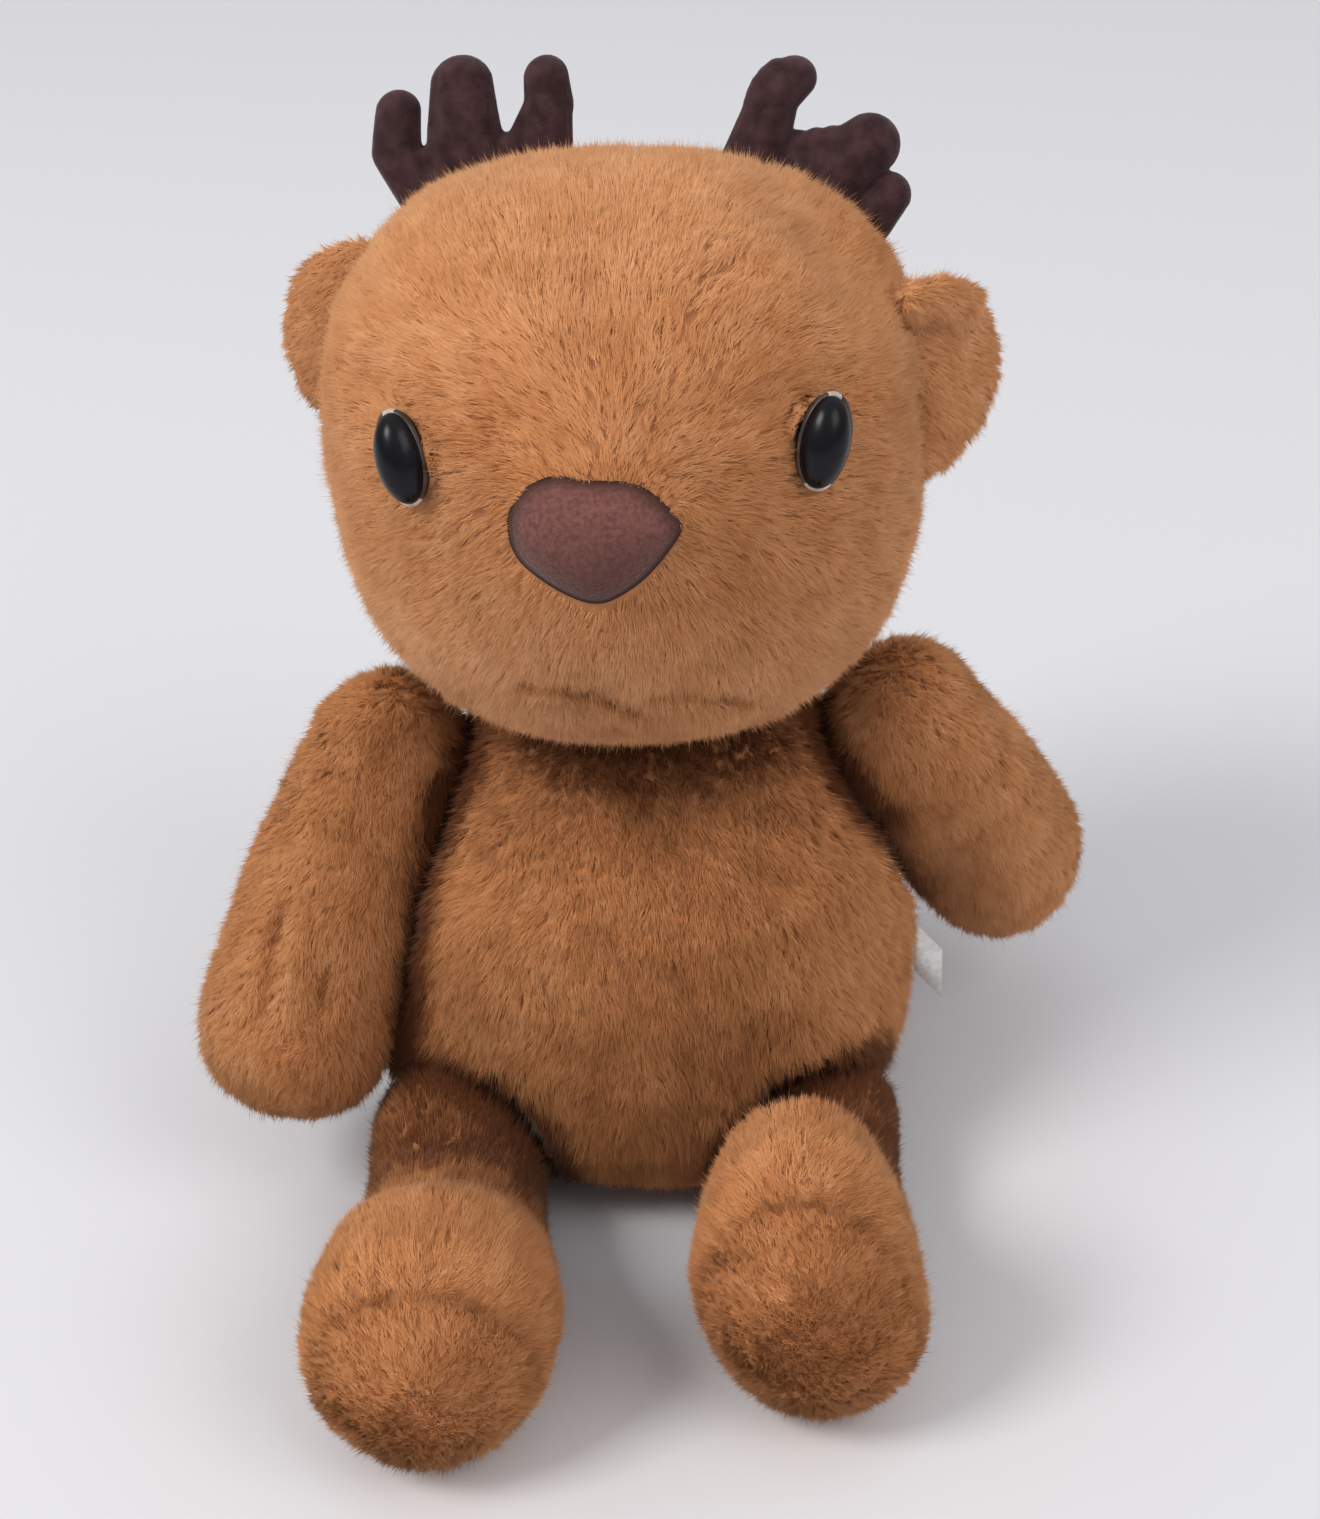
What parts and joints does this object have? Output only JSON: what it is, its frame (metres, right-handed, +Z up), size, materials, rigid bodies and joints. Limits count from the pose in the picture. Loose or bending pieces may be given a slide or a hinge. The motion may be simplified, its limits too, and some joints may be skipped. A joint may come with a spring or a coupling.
{
  "type": "plush deer",
  "caption": "Small sitting plush deer with a large head, brown pile, flat felt antlers, domed black eyes, a padded nose and jointless sewn limbs that swing.",
  "frame": {"origin": "the middle of the flat seat under the body", "axes": "+Z up; the deer faces -Y; its own left side is at +X"},
  "size_m": [0.1781, 0.1666, 0.2051],
  "materials": {
    "fur": "short caramel plush pile",
    "dark_fur": "short brown plush pile",
    "fibre": "loose white polyester fibre",
    "calico": "plain woven cotton",
    "ribbon": "smooth woven ribbon",
    "antler_felt": "matte suede cloth",
    "nose_felt": "fine suede cloth",
    "black_plastic": "polished",
    "white_plastic": "moulded"
  },
  "bodies": {
    "torso": {"body_skin": "fur", "body_stuffing": "fibre", "seat_pellet_bag": "calico", "tail": "fur", "side_label": "ribbon"},
    "neck": {"neck_stuffing": "fibre"},
    "head": {"head_skin": "fur", "head_stuffing": "fibre", "nose": "nose_felt", "ear_left": "fur", "ear_right": "fur", "antler_left": "antler_felt", "antler_right": "antler_felt", "eye_left": "black_plastic", "eye_right": "black_plastic", "eye_backing_left": "white_plastic", "eye_backing_right": "white_plastic", "eye_washer_left": "white_plastic", "eye_washer_right": "white_plastic"},
    "arm_left": {"arm_left_skin": "fur", "arm_left_stuffing": "fibre"},
    "arm_right": {"arm_right_skin": "fur", "arm_right_stuffing": "fibre"},
    "leg_left": {"leg_left_skin": "fur", "leg_left_sole": "dark_fur", "leg_left_stuffing": "fibre"},
    "leg_right": {"leg_right_skin": "fur", "leg_right_sole": "dark_fur", "leg_right_stuffing": "fibre"}
  },
  "joints": [
    {"name": "head_turn", "type": "hinge", "parent": "torso", "child": "neck", "pos_m": [0, 0.003, 0.06], "axis": [0, 0, 1], "range_deg": [-25, 25], "stiffness_Nm_per_rad": 1.5},
    {"name": "head_nod", "type": "hinge", "parent": "neck", "child": "head", "pos_m": [0, 0.003, 0.06], "axis": [1, 0, 0], "range_deg": [-10, 10], "stiffness_Nm_per_rad": 3},
    {"name": "arm_left_swing", "type": "hinge", "parent": "torso", "child": "arm_left", "pos_m": [0.049, 0.004, 0.08], "axis": [0.891, 0.3003, 0.3404], "range_deg": [-35, 15], "stiffness_Nm_per_rad": 0.4},
    {"name": "arm_right_swing", "type": "hinge", "parent": "torso", "child": "arm_right", "pos_m": [-0.049, 0.004, 0.08], "axis": [-0.891, 0.3003, 0.3404], "range_deg": [-35, 15], "stiffness_Nm_per_rad": 0.4},
    {"name": "leg_left_swing", "type": "hinge", "parent": "torso", "child": "leg_left", "pos_m": [0.03, -0.032, 0.015], "axis": [-1, 0, 0], "range_deg": [-10, 15], "stiffness_Nm_per_rad": 0.8},
    {"name": "leg_right_swing", "type": "hinge", "parent": "torso", "child": "leg_right", "pos_m": [-0.037, -0.032, 0.015], "axis": [-1, 0, 0], "range_deg": [-10, 15], "stiffness_Nm_per_rad": 0.8}
  ]
}
